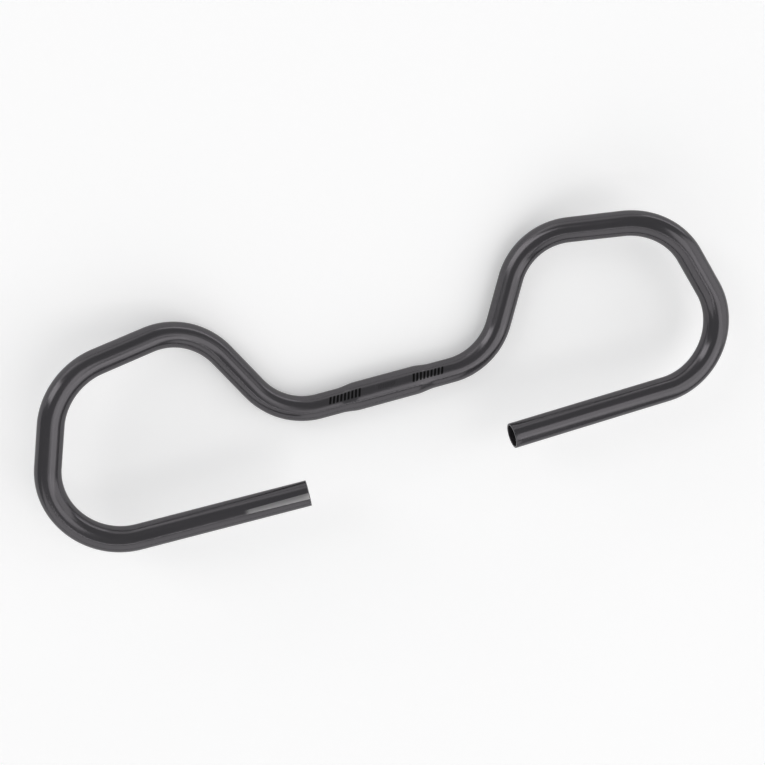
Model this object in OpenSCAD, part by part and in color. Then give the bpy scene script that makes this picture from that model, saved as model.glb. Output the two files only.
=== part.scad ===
// Trekking handlebar: one aluminium tube, bulged for the stem in the middle and bent
// into a loop on each side, with both open ends turned back towards the middle.
//
// The origin is the middle of the clamp zone, on the tube's axis. +X runs along the
// clamp zone to the rider's right, +Y points forwards and +Z points up. The two legs
// that leave the clamp zone lie level, and the bar can rest on them.

/* [Tube] */
// Outside diameter of the plain tube
tube_d = 22.2; // [20:0.1:24]
// Thickness of the tube's wall, also where the tube is bulged
wall = 1.8; // [1.2:0.1:2.6]
// Edge taken off the outside and the inside of each open end
end_chamfer = 0.4; // [0.1:0.1:0.5]

/* [Clamp zone] */
// Outside diameter where the stem clamps the bar
clamp_d = 25.4; // [24.5:0.1:31.8]
// Length of the clamp zone at its full diameter
clamp_length = 52; // [36:1:66]
// Length of each taper from the clamp zone down to the plain tube
taper_length = 17; // [8:1:24]

/* [Straight lengths] */
// Centre stretch, from the first bend on one side to the first bend on the other
centre_length = 122; // [116:1:160]
// Leg that runs level, forwards and outwards from the centre
leg_length = 40.5; // [20:0.5:60]
// Front stretch, which rises outwards
front_length = 47; // [20:0.5:80]
// Side stretch, which comes back towards the rider
side_length = 36; // [15:0.5:70]
// Grip, which turns back towards the middle and ends open
grip_length = 147.5; // [110:0.5:160]

/* [Bends] */
// Radius of every bend, measured to the tube's axis
bend_radius = 58; // [45:1:64]
// Bend between the centre and the leg
leg_bend_angle = 61.5; // [50:0.5:70]
// Bend between the leg and the front stretch
front_bend_angle = 69; // [60:0.5:75]
// Bend between the front and the side stretch
side_bend_angle = 67.5; // [60:0.5:75]
// Bend between the side stretch and the grip
grip_bend_angle = 110.5; // [100:0.5:115]

/* [Bend planes] */
// Turn about the leg's axis before the front bend is made
front_turn_angle = 157; // [150:0.5:180]
// Turn about the front stretch's axis before the side bend is made
side_turn_angle = 23; // [0:0.5:30]
// Turn about the side stretch's axis before the grip bend is made
grip_turn_angle = -27.5; // [-30:0.5:0]

/* [Hidden] */

$fn = 96;
tube_r = tube_d / 2;
clamp_r = clamp_d / 2;
bulge = clamp_r - tube_r;

// Cones that make up each taper
TAPER_STEPS = 8;
// Extra sweep of a bend in degrees, which its square cut removes
SPARE_SWEEP = 6;
// Hair's breadth by which a straight reaches into the bend beside it, so that they join
OVERLAP = 0.00000002;

// Rounds to six digits
function six_digits(x) =
    let (unit = pow(10, floor(log(max(abs(x), 0.001))) - 5))
        round(x / unit) * unit;

// How far a turn by this angle changes a length, with its sine and cosine at six digits
function misfit(angle) = abs(norm([six_digits(cos(angle)), six_digits(sin(angle))]) - 1);

// The angle within a tenth of a degree that fits best, so that the stretches of tube on
// both sides of a bend meet edge on edge
function true_angle(angle) =
    let (
        tries = [for (k = [-100:100]) angle + k / 1000],
        misfits = [for (a = tries) misfit(a)]
    )
        tries[search(min(misfits), misfits)[0]];

// One row for each stage of a side: turn of the bend's plane, bend, straight length after it
STAGES = [
    [0, true_angle(leg_bend_angle), leg_length],
    [true_angle(front_turn_angle), true_angle(front_bend_angle), front_length],
    [true_angle(side_turn_angle), true_angle(side_bend_angle), side_length],
    [true_angle(grip_turn_angle), true_angle(grip_bend_angle), grip_length],
];

// Outside radius of the centre stretch: 0 at the clamp zone's end, 1 at the plain tube
function taper_r(u) = tube_r + bulge * (1 + cos(180 * u)) / 2;

// Outline of the centre stretch from its middle to its first bend, as [radius, distance]
function centre_edge(inset) = concat(
    [[clamp_r - inset, 0]],
    [for (i = [0:TAPER_STEPS])
        [taper_r(i / TAPER_STEPS) - inset, clamp_length / 2 + taper_length * i / TAPER_STEPS]],
    [[tube_r - inset, centre_length / 2 + OVERLAP]]
);

function backwards(points) = [for (i = [len(points) - 1:-1:0]) points[i]];

// Turns a profile drawn as [radius, distance] about the X axis. The first turn puts the
// seam at -Y, the outside of a bend, where the bend has its own seam.
module turned_along_x() {
    rotate([-90, 0, 0])
        rotate([0, 90, 0])
            rotate_extrude()
                children();
}

// Half of the centre stretch, with the bulge that the stem clamps
module centre_half() {
    turned_along_x()
        polygon(concat(centre_edge(0), backwards(centre_edge(wall))));
}

// Plain straight tube from the origin along +X
module straight(length) {
    turned_along_x()
        translate([tube_r - wall, -OVERLAP])
            square([wall, length + 2 * OVERLAP]);
}

// Straight tube whose far end is open, with both its edges broken
module open_straight(length) {
    c = min(end_chamfer, wall / 3);
    turned_along_x()
        polygon([
            [tube_r - wall, -OVERLAP],
            [tube_r, -OVERLAP],
            [tube_r, length - c],
            [tube_r - c, length],
            [tube_r - wall + c, length],
            [tube_r - wall, length - c],
        ]);
}

// Moves to the end of a bend that starts at the origin along +X and turns towards +Y
module after_bend(angle) {
    translate([0, bend_radius, 0])
        rotate([0, 0, angle])
            translate([0, -bend_radius, 0])
                children();
}

// Bent tube from the origin, along +X and turning towards +Y, cut square at its far end
module bend(angle) {
    difference() {
        translate([0, bend_radius, 0])
            rotate_extrude(angle = angle + SPARE_SWEEP, start = -90)
                translate([bend_radius, 0])
                    difference() {
                        circle(r = tube_r);
                        circle(r = tube_r - wall);
                    }
        after_bend(angle)
            translate([0, -tube_d, -tube_d])
                cube(2 * tube_d);
    }
}

// The stages from one bend outwards, each carried by the one before it
module stages_from(i) {
    turn = STAGES[i][0];
    angle = STAGES[i][1];
    length = STAGES[i][2];
    rotate([turn, 0, 0]) {
        bend(angle);
        after_bend(angle) {
            if (i == len(STAGES) - 1) {
                open_straight(length);
            } else {
                straight(length);
                translate([length, 0, 0])
                    stages_from(i + 1);
            }
        }
    }
}

module side() {
    centre_half();
    translate([centre_length / 2, 0, 0])
        stages_from(0);
}

module handlebar_tube() {
    color("#5c5b5d") {
        side();
        mirror([1, 0, 0])
            side();
    }
}

handlebar_tube();
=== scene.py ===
"""Looks of a one-piece trekking handlebar: a bent, satin dark grey anodised tube on a pale floor."""

import math

import bpy
from mathutils import Matrix, Vector


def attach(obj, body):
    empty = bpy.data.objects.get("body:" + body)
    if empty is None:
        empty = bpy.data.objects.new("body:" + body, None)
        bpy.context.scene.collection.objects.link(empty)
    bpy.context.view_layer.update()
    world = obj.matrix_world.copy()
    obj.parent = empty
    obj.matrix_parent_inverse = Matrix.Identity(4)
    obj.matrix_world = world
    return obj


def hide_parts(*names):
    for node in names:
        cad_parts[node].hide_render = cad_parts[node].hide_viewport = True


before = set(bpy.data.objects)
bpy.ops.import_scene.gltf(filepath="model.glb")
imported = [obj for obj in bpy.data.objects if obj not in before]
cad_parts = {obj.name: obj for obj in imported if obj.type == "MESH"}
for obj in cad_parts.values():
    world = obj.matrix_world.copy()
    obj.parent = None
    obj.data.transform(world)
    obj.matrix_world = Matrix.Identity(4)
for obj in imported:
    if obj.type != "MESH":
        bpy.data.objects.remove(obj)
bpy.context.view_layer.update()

# The tube, in metres and degrees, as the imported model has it
TUBE_R = 0.0111
WALL = 0.0018
CLAMP_R = 0.0127
CLAMP_HALF = 0.026
TAPER = 0.017
CENTRE_HALF = 0.061
BEND_R = 0.058
END_ROUND = 0.0004
# For each stage of a side: turn of the bend's plane, bend, straight length after it
STAGES = (
    (0.0, 61.55, 0.0405),
    (157.077, 68.987, 0.047),
    (22.923, 67.425, 0.036),
    (-27.462, 110.41, 0.1475),
)

# Fineness of the mesh: sides of a ring, steps along half the clamp zone, ring spacing on tapers
# and straights, degrees in a bend, steps over each edge of the rim
SIDES = 72
CLAMP_STEPS = 4
TAPER_STEP = 0.001
STRAIGHT_STEP = 0.006
BEND_STEP = 3.0
ROUND_STEPS = 4
# A length that is this share of a step too long for its steps gets no step more
STEP_SLACK = 1e-6

# Printed scale at the clamp zone: the angle round the tube where its middle lies, how far the
# bars lean along the tube for each radian round it, and how soft their edges are along the tube
# and round it
MARK_ANGLE = 1.15
MARK_SLANT = 0.004
MARK_BLUR = 0.0003
MARK_ANGLE_BLUR = 0.02
# Its rows: start and end as a count of pitches, pitch, share of the pitch that is black, half
# the reach round the tube, strength
MARK_ROWS = (
    (7, 16, 0.0033, 0.60, 0.29, 1.0),
    (-16, -7, 0.0033, 0.60, 0.29, 1.0),
    (-4, 4, 0.0020, 0.40, 0.16, 0.45),
)

# Pale streak near the left end, a painted highlight that stands in for a light's reflection:
# its distance from the bar's middle along the tube, its place round the tube, half its reach
# round it at the start, and how much wider it gets with each metre
STREAK_START = 0.589
STREAK_ANGLE = 1.19
STREAK_HALF_ANGLE = 0.16
STREAK_SPREAD = 1.6
# How ragged and how soft its long edges are, round the tube, and where it fades in after its start
STREAK_RAGGED = 0.06
STREAK_BLUR = 0.05
STREAK_FADE = (-0.001, 0.004)

# Linear base colours of the anodising, which is a little cloudy, of the print and of the painted
# highlight streak
DARK_BASE = (0.0770, 0.0735, 0.0790, 1)
LIGHT_BASE = (0.0870, 0.0825, 0.0890, 1)
PRINT_BASE = (0.006, 0.006, 0.006, 1)
# The streak's pale colour is a painted highlight, standing in for a light's reflection on the grip.
HIGHLIGHT_STREAK_BASE = (0.300, 0.294, 0.298, 1)
# Tint of what the anodising reflects where it is seen at a shallow angle
EDGE_TINT = (0.5, 0.5, 0.5, 1)
METALLIC = 0.75
COAT = 0.2
COAT_ROUGH = 0.2
# Noise of the lengthwise lines, the clouds and the fine grain: how often it changes in a metre
# along and across, its levels of detail, how strong the finer ones are
LINES_NOISE = ((9.0, 1500.0, 1500.0), 3.0, 0.6)
CLOUD_NOISE = ((25.0, 90.0, 90.0), 3.0, 0.55)
GRAIN_NOISE = ((6000.0, 6000.0, 6000.0), 1.0, 0.5)
# The part of the noise's range that is spread over roughness and colour
NOISE_RANGE = (0.3, 0.7)
# Roughness that the lines give, and what the clouds, the print and the streak add to it
LINES_ROUGH = (0.13, 0.24)
CLOUD_ROUGH = (-0.01, 0.02)
PRINT_ROUGH = 0.2
STREAK_ROUGH = 0.15
# Shares of lines and grain in the bump, its strength and its depth
LINES_HEIGHT = 0.6
GRAIN_HEIGHT = 0.4
BUMP_STRENGTH = 0.6
BUMP_DISTANCE = 0.00002

# The photograph's view: where the camera looks, from where, and which heading is up in it
AIM = Vector((-0.0041, 0.0101, 0.020))
DISTANCE = 1.0485
AZIMUTH = -152.69
ELEVATION = 75.95
UP_HEADING = 13.66
LENS = 56.85
SENSOR = 36.0
CLIP_END = 50.0

# The floor: half its side, its colour, and the little light of its own
FLOOR_HALF = 20.0
FLOOR_COLOUR = (0.88, 0.88, 0.88, 1)
FLOOR_GLOW = 0.23

# Even light from all round, and the softboxes: name, azimuth, lower and upper elevation in
# degrees, half the width as a share of the distance, radiance
WORLD_LEVEL = 0.32
WORLD_COLOUR = (0.985, 1.0, 1.015, 1)
LAMP_COLOUR = (1.0, 0.99, 0.985)
LAMP_DISTANCE = 20.0
LAMPS = (
    ("left_key", -134, 9, 49, 0.20, 2.20),
    ("right_key", 43, 19, 58, 0.18, 1.36),
    ("rider_wall", -28, 4, 48, 0.82, 0.82),
    ("right_wall", 80, 4, 52, 0.41, 0.96),
    ("front_right_strip", 133, 4, 15, 0.44, 2.03),
    ("front_strip", -175, 4, 25, 0.49, 0.68),
    ("front_left_strip", -142, 4, 12, 0.55, 1.13),
    ("top_panel", 61, 57, 83, 0.38, 1.30),
    ("top_strip", -15, 56, 59, 0.41, 3.28),
)


def steps(length, step):
    """Even distances from 0 to length, about one step apart, without the 0."""
    count = max(1, math.ceil(length / step - STEP_SLACK))
    return [length * (i + 1) / count for i in range(count)]


def outer_radius(x):
    """Outside radius at distance x from the bar's middle."""
    u = min(max((x - CLAMP_HALF) / TAPER, 0.0), 1.0)
    return TUBE_R + (CLAMP_R - TUBE_R) * (1 + math.cos(math.pi * u)) / 2


def stations():
    """Rings of the right half, from the bar's middle: (distance, place, spin, outside radius).

    In a ring's place the tube runs along +X. The spin takes back the turns of the bend
    planes, so that one line of vertices runs straight along the whole tube."""
    rows = [(0.0, Matrix.Identity(4), 0.0, CLAMP_R)]
    marks = [CLAMP_HALF * (i + 1) / CLAMP_STEPS for i in range(CLAMP_STEPS)]
    marks += [CLAMP_HALF + d for d in steps(TAPER, TAPER_STEP)]
    end_of_taper = CLAMP_HALF + TAPER
    marks += [end_of_taper + d for d in steps(CENTRE_HALF - end_of_taper, STRAIGHT_STEP)]
    for x in marks:
        rows.append((x, Matrix.Translation((x, 0, 0)), 0.0, outer_radius(x)))
    place = Matrix.Translation((CENTRE_HALF, 0, 0))
    distance = CENTRE_HALF
    spin = 0.0
    for turn, bend, length in STAGES:
        place = place @ Matrix.Rotation(math.radians(turn), 4, "X")
        spin -= math.radians(turn)
        centre = Matrix.Translation((0, BEND_R, 0))
        for angle in steps(bend, BEND_STEP):
            swing = centre @ Matrix.Rotation(math.radians(angle), 4, "Z") @ centre.inverted()
            rows.append((distance + BEND_R * math.radians(angle), place @ swing, spin, TUBE_R))
        place = place @ swing
        distance += BEND_R * math.radians(bend)
        for d in steps(length, STRAIGHT_STEP):
            rows.append((distance + d, place @ Matrix.Translation((d, 0, 0)), spin, TUBE_R))
        place = place @ Matrix.Translation((length, 0, 0))
        distance += length
    return rows


def ring(place, spin, radius, along=0.0):
    """Vertices of one ring, moved by along in the tube's direction."""
    out = []
    for k in range(SIDES):
        a = 2 * math.pi * k / SIDES + spin
        out.append(place @ Vector((along, radius * math.cos(a), radius * math.sin(a))))
    return out


def end_rings(distance, place, spin):
    """Rings over the open end's rim, from the outside to the inside, with rounded edges."""
    out = []
    for i in range(1, ROUND_STEPS + 1):
        a = math.pi / 2 * i / ROUND_STEPS
        out.append((END_ROUND * (math.sin(a) - 1), TUBE_R - END_ROUND * (1 - math.cos(a))))
    inside = TUBE_R - WALL
    for i in range(ROUND_STEPS + 1):
        a = math.pi / 2 * i / ROUND_STEPS
        out.append((END_ROUND * (math.cos(a) - 1), inside + END_ROUND * (1 - math.sin(a))))
    return [(distance + along, ring(place, spin, radius, along), radius) for along, radius in out]


def half_loop():
    """Rings of the right half: out along the outside, over the rim and back inside."""
    rows = stations()
    outside = [(d, ring(place, spin, r), r) for d, place, spin, r in rows]
    inside = [(d, ring(place, spin, r - WALL), r - WALL) for d, place, spin, r in rows]
    d, place, spin, r = rows[-1]
    outside[-1] = (d - END_ROUND, ring(place, spin, r, -END_ROUND), r)
    return outside + end_rings(d, place, spin) + inside[-2::-1]


def build_tube():
    """The whole tube as one closed mesh, with each point's place on the straightened tube."""
    right = half_loop()
    left = [(-d, [Vector((-p.x, p.y, p.z)) for p in points], r) for d, points, r in right]
    rings = right + left[-2:0:-1]
    verts = []
    straight = []
    for d, points, r in rings:
        verts.extend(points)
        for k in range(SIDES):
            a = 2 * math.pi * k / SIDES
            straight.extend((d, r * math.cos(a), r * math.sin(a)))
    faces = []
    for i in range(len(rings)):
        j = (i + 1) % len(rings)
        for k in range(SIDES):
            m = (k + 1) % SIDES
            faces.append((i * SIDES + k, j * SIDES + k, j * SIDES + m, i * SIDES + m))
    mesh = bpy.data.meshes.new("handlebar")
    mesh.from_pydata([tuple(v) for v in verts], [], faces)
    layer = mesh.attributes.new("straight", "FLOAT_VECTOR", "POINT")
    layer.data.foreach_set("vector", straight)
    mesh.polygons.foreach_set("use_smooth", [True] * len(mesh.polygons))
    mesh.update()
    tube = bpy.data.objects.new("handlebar", mesh)
    bpy.context.scene.collection.objects.link(tube)
    return tube


class Nodes:
    """Short calls for a material's nodes. An input is given as a value or as the socket that feeds it."""

    def __init__(self, name):
        self.material = bpy.data.materials.new(name)
        self.material.use_nodes = True
        self.tree = self.material.node_tree
        self.tree.nodes.clear()
        self.output = self.tree.nodes.new("ShaderNodeOutputMaterial")

    def new(self, kind, inputs, **settings):
        """A node, with its inputs by name or place."""
        node = self.tree.nodes.new("ShaderNode" + kind)
        for key, value in settings.items():
            setattr(node, key, value)
        for key, value in inputs.items():
            if isinstance(value, bpy.types.NodeSocket):
                self.tree.links.new(value, node.inputs[key])
            else:
                node.inputs[key].default_value = value
        return node

    def maths(self, operation, *values):
        return self.new("Math", dict(enumerate(values)), operation=operation).outputs[0]

    def noise(self, vector, scale, detail, rough):
        """Noise that is stretched by a scale for each axis."""
        stretched = self.new("Mapping", {"Vector": vector, "Scale": scale}).outputs[0]
        inputs = {"Vector": stretched, "Scale": 1.0, "Detail": detail, "Roughness": rough}
        return self.new("TexNoise", inputs).outputs["Fac"]

    def remap(self, value, low, high, to_low, to_high):
        inputs = {"Value": value, "From Min": low, "From Max": high, "To Min": to_low, "To Max": to_high}
        return self.new("MapRange", inputs).outputs[0]

    def spread(self, noise, to_low, to_high):
        """Spreads the middle of a noise's range over the given values."""
        return self.remap(noise, *NOISE_RANGE, to_low, to_high)

    def mix(self, factor, a, b):
        """Mixes two colours."""
        return self.new("Mix", {0: factor, 6: a, 7: b}, data_type="RGBA").outputs[2]


def band(n, value, middle, half, edge):
    """1 where the value lies within half of the middle, falling to 0 over the edge."""
    gap = n.maths("ABSOLUTE", n.maths("SUBTRACT", value, middle))
    return n.remap(gap, half - edge / 2, half + edge / 2, 1.0, 0.0)


def bar_row(n, along, angle, row):
    """Mask of one row of slanted printed bars."""
    start, end, pitch, share, half_angle, strength = row
    from_middle = n.maths("SUBTRACT", angle, MARK_ANGLE)
    phase = n.maths("MULTIPLY_ADD", from_middle, MARK_SLANT, along)
    bars = n.maths("PINGPONG", phase, pitch / 2)
    edge = pitch / 2 * (1 - share)
    mask = n.remap(bars, edge - MARK_BLUR / 2, edge + MARK_BLUR / 2, 0.0, strength)
    stretch = band(n, phase, pitch * (start + end) / 2, pitch * (end - start) / 2, MARK_BLUR)
    sector = band(n, angle, MARK_ANGLE, half_angle, MARK_ANGLE_BLUR)
    return n.maths("MULTIPLY", mask, n.maths("MULTIPLY", stretch, sector))


def print_marks(n, along, angle):
    """Mask of the printed alignment scale."""
    right, left, middle = [bar_row(n, along, angle, row) for row in MARK_ROWS]
    return n.maths("MAXIMUM", n.maths("MAXIMUM", right, left), middle)


def painted_highlight_streak(n, along, angle, lines):
    """Mask of the pale streak near the left end, a painted highlight. The lines in the anodising make its
    edges ragged.
    """
    ragged = n.maths("MULTIPLY_ADD", lines, STREAK_RAGGED, n.maths("SUBTRACT", angle, STREAK_RAGGED / 2))
    beyond = n.maths("SUBTRACT", n.maths("MULTIPLY", along, -1.0), STREAK_START)
    reach = n.maths("MULTIPLY_ADD", beyond, STREAK_SPREAD, STREAK_HALF_ANGLE)
    gap = n.maths("ABSOLUTE", n.maths("SUBTRACT", ragged, STREAK_ANGLE))
    sector = n.remap(n.maths("SUBTRACT", gap, reach), -STREAK_BLUR / 2, STREAK_BLUR / 2, 1.0, 0.0)
    return n.maths("MULTIPLY", sector, n.remap(beyond, *STREAK_FADE, 0.0, 1.0))


def anodised_tube():
    """Satin dark grey anodising with fine lengthwise lines, a black print and a pale streak of painted
    highlight.
    """
    n = Nodes("anodised_tube")
    straight = n.new("Attribute", {}, attribute_name="straight").outputs["Vector"]
    lines = n.noise(straight, *LINES_NOISE)
    cloud = n.noise(straight, *CLOUD_NOISE)
    grain = n.noise(straight, *GRAIN_NOISE)
    axes = n.new("SeparateXYZ", {"Vector": straight}).outputs
    angle = n.maths("ARCTAN2", axes["Z"], axes["Y"])
    across = n.new("CombineXYZ", {"Y": axes["Y"], "Z": axes["Z"]}).outputs[0]
    radius = n.new("VectorMath", {0: across}, operation="LENGTH").outputs["Value"]
    outside = n.remap(radius, TUBE_R - WALL / 2, TUBE_R - WALL / 4, 0.0, 1.0)
    marks = n.maths("MULTIPLY", outside, print_marks(n, axes["X"], angle))
    streak = n.maths("MULTIPLY", outside, painted_highlight_streak(n, axes["X"], angle, lines))
    base = n.mix(n.spread(cloud, 0.0, 1.0), DARK_BASE, LIGHT_BASE)
    # Painted highlight: the pale streak near the left end lightens the base colour.
    base = n.mix(streak, base, HIGHLIGHT_STREAK_BASE)
    base = n.mix(marks, base, PRINT_BASE)
    rough = n.maths("ADD", n.spread(lines, *LINES_ROUGH), n.spread(cloud, *CLOUD_ROUGH))
    rough = n.maths("ADD", rough, n.maths("MULTIPLY", marks, PRINT_ROUGH))
    rough = n.maths("ADD", rough, n.maths("MULTIPLY", streak, STREAK_ROUGH))
    height = n.maths("MULTIPLY_ADD", grain, GRAIN_HEIGHT, n.maths("MULTIPLY", lines, LINES_HEIGHT))
    bump = n.new("Bump", {"Strength": BUMP_STRENGTH, "Distance": BUMP_DISTANCE, "Height": height})
    inputs = {
        "Base Color": base,
        "Metallic": METALLIC,
        "Roughness": rough,
        "Normal": bump.outputs[0],
        "Specular Tint": EDGE_TINT,
        "Coat Weight": n.maths("SUBTRACT", COAT, n.maths("MULTIPLY", marks, COAT)),
        "Coat Roughness": COAT_ROUGH,
    }
    shader = n.new("BsdfPrincipled", inputs)
    n.tree.links.new(shader.outputs[0], n.output.inputs[0])
    return n.material


def pale_floor():
    """White floor that keeps shadows. A little light of its own, which no lamp adds, makes it white."""
    n = Nodes("pale_floor")
    path = n.new("LightPath", {}).outputs
    seen = n.maths("MAXIMUM", path["Is Camera Ray"], path["Is Glossy Ray"])
    seen = n.maths("MAXIMUM", seen, path["Is Transmission Ray"])
    diffuse = n.new("BsdfDiffuse", {"Color": FLOOR_COLOUR})
    glow = n.new("Emission", {"Color": (1, 1, 1, 1), "Strength": n.maths("MULTIPLY", seen, FLOOR_GLOW)})
    both = n.new("AddShader", {0: diffuse.outputs[0], 1: glow.outputs[0]})
    n.tree.links.new(both.outputs[0], n.output.inputs[0])
    return n.material


def build_floor():
    """The floor touches the clamp zone, which is the bar's lowest place."""
    z = -CLAMP_R
    h = FLOOR_HALF
    mesh = bpy.data.meshes.new("floor")
    mesh.from_pydata([(-h, -h, z), (h, -h, z), (h, h, z), (-h, h, z)], [], [(0, 1, 2, 3)])
    floor = bpy.data.objects.new("floor", mesh)
    floor.data.materials.append(pale_floor())
    bpy.context.scene.collection.objects.link(floor)


def heading(azimuth, elevation):
    """Unit vector from the bar: azimuth 0 is the rider's side, 90 is +X."""
    a = math.radians(azimuth)
    e = math.radians(elevation)
    return Vector((math.sin(a) * math.cos(e), -math.cos(a) * math.cos(e), math.sin(e)))


def softbox(name, azimuth, low, high, half_width, radiance):
    """A flat rectangular lamp that faces the bar, between two elevations as seen from it.

    Half the width is given as a share of the distance. At a radiance of 1 it looks white."""
    elevation = (low + high) / 2
    data = bpy.data.lights.new(name, "AREA")
    data.shape = "RECTANGLE"
    data.size = 2 * LAMP_DISTANCE * half_width
    data.size_y = 2 * LAMP_DISTANCE * math.tan(math.radians(high - low) / 2)
    data.color = LAMP_COLOUR
    data.energy = radiance * math.pi * data.size * data.size_y
    lamp = bpy.data.objects.new(name, data)
    lamp.location = heading(azimuth, elevation) * LAMP_DISTANCE
    lamp.rotation_euler = heading(azimuth, elevation).to_track_quat("Z", "Y").to_euler()
    bpy.context.scene.collection.objects.link(lamp)


def build_lights():
    world = bpy.data.worlds.new("studio")
    world.use_nodes = True
    background = world.node_tree.nodes["Background"]
    background.inputs["Color"].default_value = WORLD_COLOUR
    background.inputs["Strength"].default_value = WORLD_LEVEL
    bpy.context.scene.world = world
    for lamp in LAMPS:
        softbox(*lamp)


def build_camera():
    data = bpy.data.cameras.new("camera")
    data.lens = LENS
    data.sensor_width = SENSOR
    data.sensor_fit = "HORIZONTAL"
    data.clip_end = CLIP_END
    camera = bpy.data.objects.new("camera", data)
    back = heading(AZIMUTH, ELEVATION)
    h = math.radians(UP_HEADING)
    hint = Vector((math.sin(h), math.cos(h), 0))
    right = hint.cross(back).normalized()
    up = back.cross(right)
    turn = Matrix((right, up, back)).transposed().to_4x4()
    camera.matrix_world = Matrix.Translation(AIM + back * DISTANCE) @ turn
    bpy.context.scene.collection.objects.link(camera)
    bpy.context.scene.camera = camera


handlebar = build_tube()
handlebar.data.materials.append(anodised_tube())
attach(handlebar, "root")
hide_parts("handlebar_tube")
build_floor()
build_lights()
build_camera()
bpy.context.scene.view_settings.view_transform = "Standard"
